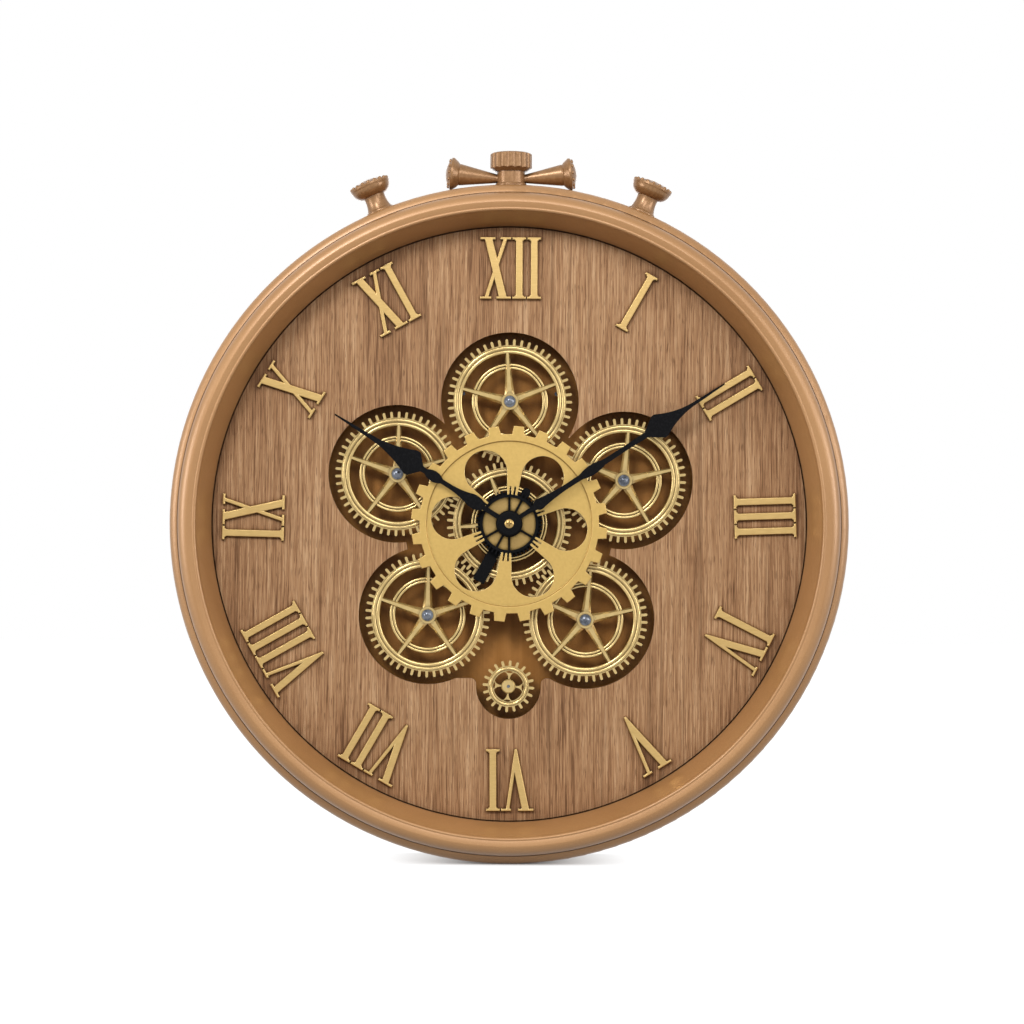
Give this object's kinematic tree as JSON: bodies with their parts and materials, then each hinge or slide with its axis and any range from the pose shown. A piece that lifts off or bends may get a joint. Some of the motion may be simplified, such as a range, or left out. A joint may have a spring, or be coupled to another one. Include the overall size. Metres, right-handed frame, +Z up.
{
  "type": "wooden gear wall clock",
  "caption": "Round pocket-watch style wall clock: bronze-lacquered case, walnut dial with raised Roman numerals and an open train of turning brass wheels behind black hands.",
  "frame": {"origin": "where the clock's axis meets the wall plane, at the rear edge of the case band", "axes": "+Z up towards twelve o'clock, +X to the right of someone facing the dial, +Y into the wall; the dial faces -Y"},
  "size_m": [0.5302, 0.0795, 0.5582],
  "materials": {
    "bronze_lacquer": "satin bronze lacquer on turned wood",
    "bronze_resin": "satin bronze lacquer on cast resin",
    "dial_wood": "matt walnut veneer, grain upright",
    "backing_wood": "satin brown stain",
    "numeral_brass": "brushed, bevelled edge",
    "wheel_brass": "polished gold plating",
    "cog_brass": "satin gold",
    "fitting_brass": "turned",
    "steel": "zinc plated",
    "black_lacquer": "matt black lacquer",
    "black_plastic": "matt moulded",
    "cell_sleeve": "plain sleeve"
  },
  "bodies": {
    "clock_case": {"case_band": "bronze_lacquer", "bezel": "bronze_lacquer", "dial_plate": "dial_wood", "backing_panel": "backing_wood", "numeral_1": "numeral_brass", "numeral_2": "numeral_brass", "numeral_3": "numeral_brass", "numeral_4": "numeral_brass", "numeral_5": "numeral_brass", "numeral_6": "numeral_brass", "numeral_7": "numeral_brass", "numeral_8": "numeral_brass", "numeral_9": "numeral_brass", "numeral_10": "numeral_brass", "numeral_11": "numeral_brass", "numeral_12": "numeral_brass", "crown_stem": "bronze_resin", "crown_knob": "bronze_resin", "left_horn": "bronze_resin", "right_horn": "bronze_resin", "left_pusher": "bronze_resin", "right_pusher": "bronze_resin", "planet_posts": "steel", "planet_washers": "steel", "planet_screws": "steel", "small_wheel_post": "steel", "centre_bush": "fitting_brass", "bush_nut": "fitting_brass", "movement_case": "black_plastic", "movement_cell": "cell_sleeve", "gear_motor_case": "black_plastic", "gear_motor_cell": "cell_sleeve", "gear_motor_screws": "steel", "backing_screws": "steel", "hanger_block": "backing_wood", "hanger_plate": "steel", "hanger_screws": "steel"},
    "centre_train": {"drive_sleeve": "fitting_brass", "centre_wheel": "wheel_brass", "drive_arm": "black_plastic", "hub_plate": "fitting_brass", "spider_wheel": "black_plastic", "front_cog": "cog_brass"},
    "planet_1": {"planet_wheel_1": "wheel_brass", "drive_shaft": "steel", "drive_washer": "steel", "drive_screw": "steel"},
    "planet_2": {"planet_wheel_2": "wheel_brass"},
    "planet_3": {"planet_wheel_3": "wheel_brass"},
    "planet_4": {"planet_wheel_4": "wheel_brass"},
    "planet_5": {"planet_wheel_5": "wheel_brass"},
    "idler": {"small_wheel": "wheel_brass"},
    "hour": {"hour_hand": "black_lacquer", "hour_tube": "fitting_brass"},
    "minute": {"minute_hand": "black_lacquer", "minute_arbor": "steel", "hand_cap": "black_plastic", "hand_screw": "fitting_brass"},
    "setter": {"set_knob": "black_plastic"},
    "switch": {"gear_motor_switch": "black_plastic"}
  },
  "joints": [
    {"name": "centre_spin", "type": "hinge", "parent": "clock_case", "child": "centre_train", "pos_m": [0, -0.047, 0], "axis": [0, 1, 0], "continuous": true},
    {"name": "planet_1_spin", "type": "hinge", "parent": "clock_case", "child": "planet_1", "pos_m": [0, -0.047, 0.096], "axis": [0, 1, 0], "continuous": true},
    {"name": "planet_2_spin", "type": "hinge", "parent": "clock_case", "child": "planet_2", "pos_m": [0.08962, -0.047, 0.0344], "axis": [0, 1, 0], "continuous": true},
    {"name": "planet_3_spin", "type": "hinge", "parent": "clock_case", "child": "planet_3", "pos_m": [0.06002, -0.047, -0.07492], "axis": [0, 1, 0], "continuous": true},
    {"name": "planet_4_spin", "type": "hinge", "parent": "clock_case", "child": "planet_4", "pos_m": [-0.06361, -0.047, -0.0719], "axis": [0, 1, 0], "continuous": true},
    {"name": "planet_5_spin", "type": "hinge", "parent": "clock_case", "child": "planet_5", "pos_m": [-0.08784, -0.047, 0.03874], "axis": [0, 1, 0], "continuous": true},
    {"name": "idler_spin", "type": "hinge", "parent": "clock_case", "child": "idler", "pos_m": [0, -0.047, -0.1274], "axis": [0, 1, 0], "continuous": true},
    {"name": "minute_turn", "type": "hinge", "parent": "clock_case", "child": "minute", "pos_m": [0, -0.0677, 0], "axis": [0, 1, 0], "continuous": true},
    {"name": "hour_turn", "type": "hinge", "parent": "clock_case", "child": "hour", "pos_m": [0, -0.0645, 0], "axis": [0, 1, 0], "continuous": true},
    {"name": "set_knob_turn", "type": "hinge", "parent": "clock_case", "child": "setter", "pos_m": [0.014, -0.009, 0.013], "axis": [0, 1, 0], "continuous": true},
    {"name": "switch_slide", "type": "slide", "parent": "clock_case", "child": "switch", "axis": [1, 0, 0], "range_m": [0, 0.0035]}
  ],
  "couplings": [
    {"joint": "planet_1_spin", "follows": "centre_spin", "ratio": -1},
    {"joint": "planet_2_spin", "follows": "centre_spin", "ratio": -1},
    {"joint": "planet_3_spin", "follows": "centre_spin", "ratio": -1},
    {"joint": "planet_4_spin", "follows": "centre_spin", "ratio": -1},
    {"joint": "planet_5_spin", "follows": "centre_spin", "ratio": -1},
    {"joint": "hour_turn", "follows": "minute_turn", "ratio": 0.083333},
    {"joint": "set_knob_turn", "follows": "minute_turn", "ratio": -0.33333}
  ]
}
